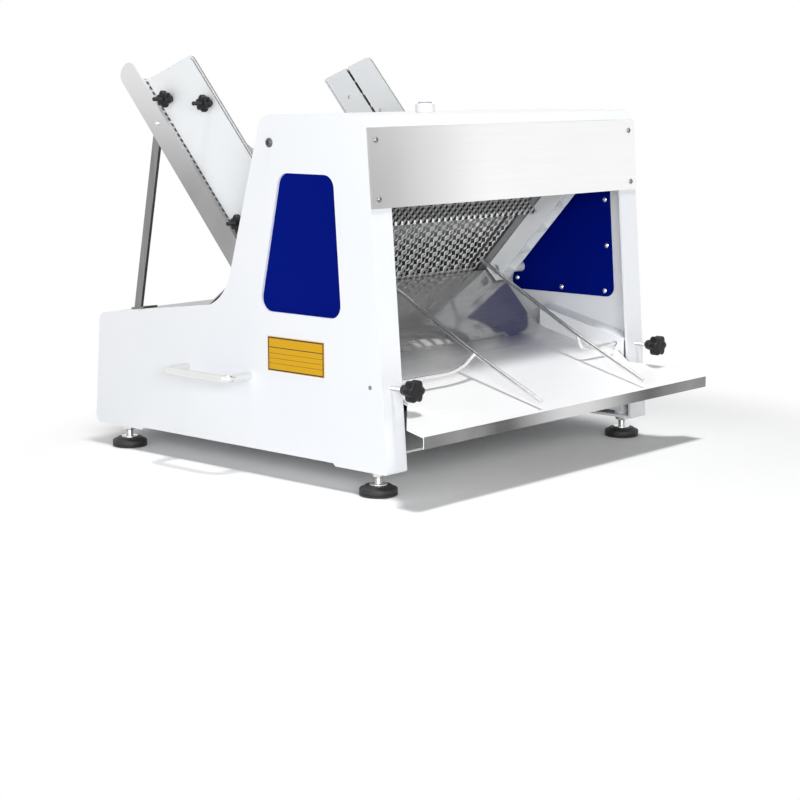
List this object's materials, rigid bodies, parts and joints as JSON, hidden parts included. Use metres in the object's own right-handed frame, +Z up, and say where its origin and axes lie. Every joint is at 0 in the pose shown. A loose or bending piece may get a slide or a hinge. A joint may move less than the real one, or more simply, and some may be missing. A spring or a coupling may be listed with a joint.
{
  "type": "bread slicer machine",
  "caption": "Table-top bread slicer with an inclined infeed chute, reciprocating blade frames, adjustable bread guides, a polished outlet tray and levelling feet.",
  "frame": {"origin": "floor level under the middle of the bounding box, between the feet", "axes": "+X to the machine's right seen from the outlet, -Y towards the outlet tray, +Z up"},
  "size_m": [0.703, 0.6892, 0.583],
  "materials": {
    "white_paint": "satin white powder coat",
    "blue_paint": "smooth royal blue enamel",
    "black_plastic": "moulded black",
    "black_rubber": "matt black",
    "stainless": "satin to polished sheet",
    "blade_steel": "ground and scalloped",
    "bright_steel": "bright polished",
    "dark_steel": "dark grey",
    "cast_grey": "machined casting",
    "gold_plate": "printed gold foil"
  },
  "bodies": {
    "base": {"left_side_panel": "white_paint", "right_side_panel": "white_paint", "left_window_plate": "blue_paint", "right_window_plate": "blue_paint", "panel_screws": "bright_steel", "front_fascia": "stainless", "top_cover": "white_paint", "tower_tie_bar": "dark_steel", "tie_bolts": "dark_steel", "switch_housing": "white_paint", "base_pan": "stainless", "rear_cover": "stainless", "cable_gland": "black_plastic", "outlet_skirts": "white_paint", "outlet_slide": "stainless", "outlet_tray": "stainless", "chute_floor": "stainless", "chute_struts": "stainless", "frame_fasteners": "bright_steel", "left_guide_bar": "white_paint", "right_guide_bar": "white_paint", "upper_comb": "stainless", "lower_comb": "stainless", "crank_bearings": "cast_grey", "motor": "dark_steel", "drive_belt": "black_rubber", "foot_lock_nuts": "bright_steel", "side_handles": "bright_steel", "rating_plate": "gold_plate"},
    "front_frame": {"front_blade_frame": "stainless", "front_blades": "blade_steel"},
    "rear_frame": {"rear_blade_frame": "stainless", "rear_blades": "blade_steel"},
    "front_rod": {"front_connecting_rod": "cast_grey"},
    "rear_rod": {"rear_connecting_rod": "cast_grey"},
    "crank": {"crankshaft": "cast_grey", "driven_pulley": "cast_grey"},
    "motor_rotor": {"motor_pulley": "cast_grey"},
    "left_guide": {"left_bread_guide": "white_paint", "left_guide_studs": "dark_steel"},
    "right_guide": {"right_bread_guide": "white_paint", "right_guide_studs": "dark_steel"},
    "left_wire": {"left_wire_guide": "bright_steel"},
    "right_wire": {"right_wire_guide": "bright_steel"},
    "left_clamp": {"left_clamp_knob": "black_plastic"},
    "right_clamp": {"right_clamp_knob": "black_plastic"},
    "button": {"switch_button": "white_paint"},
    "left_low_front_knob": {"left_knob_low_front": "black_plastic"},
    "left_high_front_knob": {"left_knob_high_front": "black_plastic"},
    "left_low_rear_knob": {"left_knob_low_rear": "black_plastic"},
    "left_high_rear_knob": {"left_knob_high_rear": "black_plastic"},
    "right_low_front_knob": {"right_knob_low_front": "black_plastic"},
    "right_high_front_knob": {"right_knob_high_front": "black_plastic"},
    "right_low_rear_knob": {"right_knob_low_rear": "black_plastic"},
    "right_high_rear_knob": {"right_knob_high_rear": "black_plastic"},
    "foot_front_left": {"foot_front_left": "black_rubber"},
    "foot_front_right": {"foot_front_right": "black_rubber"},
    "foot_rear_left": {"foot_rear_left": "black_rubber"},
    "foot_rear_right": {"foot_rear_right": "black_rubber"}
  },
  "joints": [
    {"name": "front_frame_stroke", "type": "slide", "parent": "base", "child": "front_frame", "axis": [0, -0.6756, 0.7373], "range_m": [-0.012, 0.012]},
    {"name": "rear_frame_stroke", "type": "slide", "parent": "base", "child": "rear_frame", "axis": [0, -0.6756, 0.7373], "range_m": [-0.012, 0.012]},
    {"name": "front_rod_swing", "type": "hinge", "parent": "front_frame", "child": "front_rod", "pos_m": [0, 0.08084, 0.18102], "axis": [1, 0, 0], "range_deg": [-1, 14]},
    {"name": "rear_rod_swing", "type": "hinge", "parent": "rear_frame", "child": "rear_rod", "pos_m": [0, 0.09028, 0.18967], "axis": [1, 0, 0], "range_deg": [-14, 1]},
    {"name": "crank_turn", "type": "hinge", "parent": "base", "child": "crank", "pos_m": [0, 0.15312, 0.11162], "axis": [1, 0, 0], "continuous": true},
    {"name": "motor_turn", "type": "hinge", "parent": "base", "child": "motor_rotor", "pos_m": [0, 0.04712, 0.108], "axis": [1, 0, 0], "continuous": true},
    {"name": "left_guide_slide", "type": "slide", "parent": "base", "child": "left_guide", "axis": [1, 0, 0], "range_m": [0, 0.112]},
    {"name": "right_guide_slide", "type": "slide", "parent": "base", "child": "right_guide", "axis": [1, 0, 0], "range_m": [0, 0.112]},
    {"name": "left_low_front_knob_turn", "type": "hinge", "parent": "left_guide", "child": "left_low_front_knob", "pos_m": [-0.26, 0.06296, 0.34855], "axis": [-1, 0, 0], "continuous": true},
    {"name": "left_high_front_knob_turn", "type": "hinge", "parent": "left_guide", "child": "left_high_front_knob", "pos_m": [-0.26, -0.01379, 0.35222], "axis": [-1, 0, 0], "continuous": true},
    {"name": "left_low_rear_knob_turn", "type": "hinge", "parent": "left_guide", "child": "left_low_rear_knob", "pos_m": [-0.26, 0.21507, 0.52107], "axis": [-1, 0, 0], "continuous": true},
    {"name": "left_high_rear_knob_turn", "type": "hinge", "parent": "left_guide", "child": "left_high_rear_knob", "pos_m": [-0.26, 0.13038, 0.51574], "axis": [-1, 0, 0], "continuous": true},
    {"name": "right_low_front_knob_turn", "type": "hinge", "parent": "right_guide", "child": "right_low_front_knob", "pos_m": [0.146, 0.06296, 0.34855], "axis": [1, 0, 0], "continuous": true},
    {"name": "right_high_front_knob_turn", "type": "hinge", "parent": "right_guide", "child": "right_high_front_knob", "pos_m": [0.146, 0.00272, 0.33767], "axis": [1, 0, 0], "continuous": true},
    {"name": "right_low_rear_knob_turn", "type": "hinge", "parent": "right_guide", "child": "right_low_rear_knob", "pos_m": [0.146, 0.21507, 0.52107], "axis": [1, 0, 0], "continuous": true},
    {"name": "right_high_rear_knob_turn", "type": "hinge", "parent": "right_guide", "child": "right_high_rear_knob", "pos_m": [0.146, 0.14688, 0.50119], "axis": [1, 0, 0], "continuous": true},
    {"name": "left_wire_slide", "type": "slide", "parent": "base", "child": "left_wire", "axis": [1, 0, 0], "range_m": [-0.098, 0.02]},
    {"name": "right_wire_slide", "type": "slide", "parent": "base", "child": "right_wire", "axis": [1, 0, 0], "range_m": [-0.02, 0.035]},
    {"name": "left_clamp_turn", "type": "hinge", "parent": "base", "child": "left_clamp", "pos_m": [-0.282, -0.2691, 0.148], "axis": [0, -1, 0], "continuous": true},
    {"name": "right_clamp_turn", "type": "hinge", "parent": "base", "child": "right_clamp", "pos_m": [0.282, -0.2691, 0.148], "axis": [0, -1, 0], "continuous": true},
    {"name": "button_press", "type": "slide", "parent": "base", "child": "button", "axis": [0, 0, 1], "range_m": [-0.003, 0], "stiffness_N_per_m": 400},
    {"name": "foot_front_left_turn", "type": "hinge", "parent": "base", "child": "foot_front_left", "pos_m": [-0.282, -0.2231, 0.03], "axis": [0, 0, 1], "continuous": true},
    {"name": "foot_front_right_turn", "type": "hinge", "parent": "base", "child": "foot_front_right", "pos_m": [0.282, -0.2231, 0.03], "axis": [0, 0, 1], "continuous": true},
    {"name": "foot_rear_left_turn", "type": "hinge", "parent": "base", "child": "foot_rear_left", "pos_m": [-0.282, 0.2889, 0.03], "axis": [0, 0, 1], "continuous": true},
    {"name": "foot_rear_right_turn", "type": "hinge", "parent": "base", "child": "foot_rear_right", "pos_m": [0.282, 0.2889, 0.03], "axis": [0, 0, 1], "continuous": true}
  ],
  "couplings": [
    {"joint": "rear_frame_stroke", "follows": "front_frame_stroke", "ratio": -1},
    {"joint": "motor_turn", "follows": "crank_turn", "ratio": 2.1111}
  ]
}
